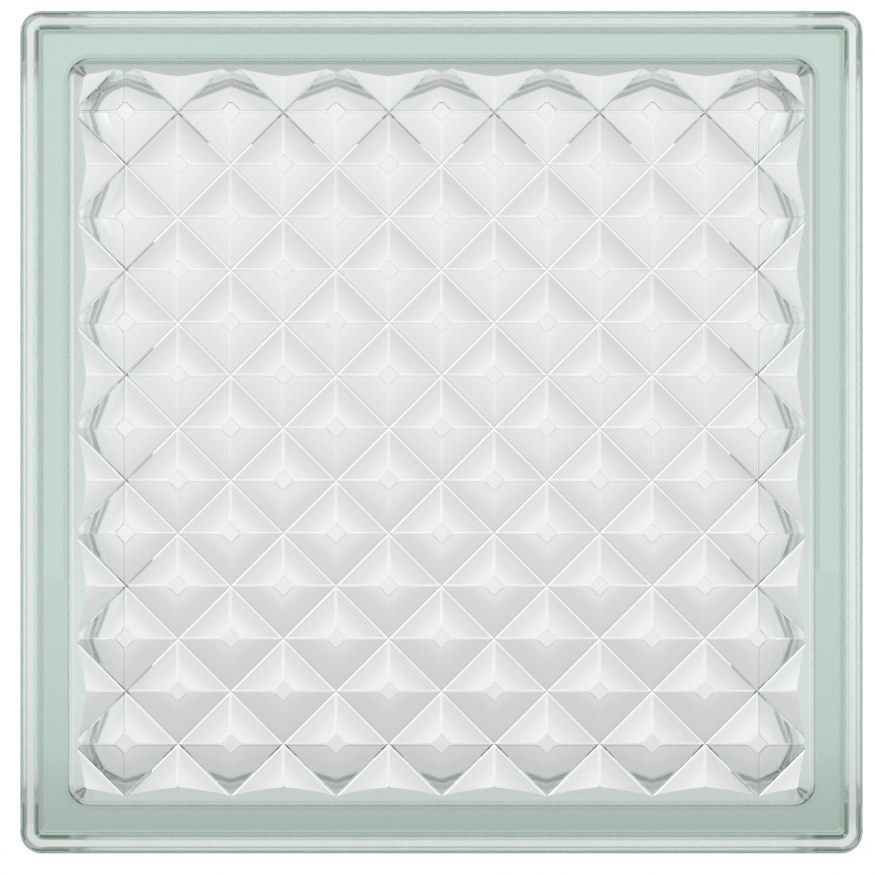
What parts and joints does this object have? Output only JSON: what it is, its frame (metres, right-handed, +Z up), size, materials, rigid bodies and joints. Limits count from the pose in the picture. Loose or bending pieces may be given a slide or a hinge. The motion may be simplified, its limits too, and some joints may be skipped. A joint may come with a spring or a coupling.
{
  "type": "hollow glass block",
  "caption": "Square hollow glass building block with smooth faces, a pressed diamond lattice inside its front face and a mortar channel round its sides.",
  "frame": {"origin": "middle of the underside, on the plane that the two lips stand on", "axes": "+Z up, -Y out of the front face, +X to the right seen from the front"},
  "size_m": [0.19, 0.08, 0.19],
  "materials": {
    "glass": "clear pressed glass with a pale green tint, fire-polished"
  },
  "bodies": {
    "root": {"glass_block": "glass"}
  },
  "joints": []
}
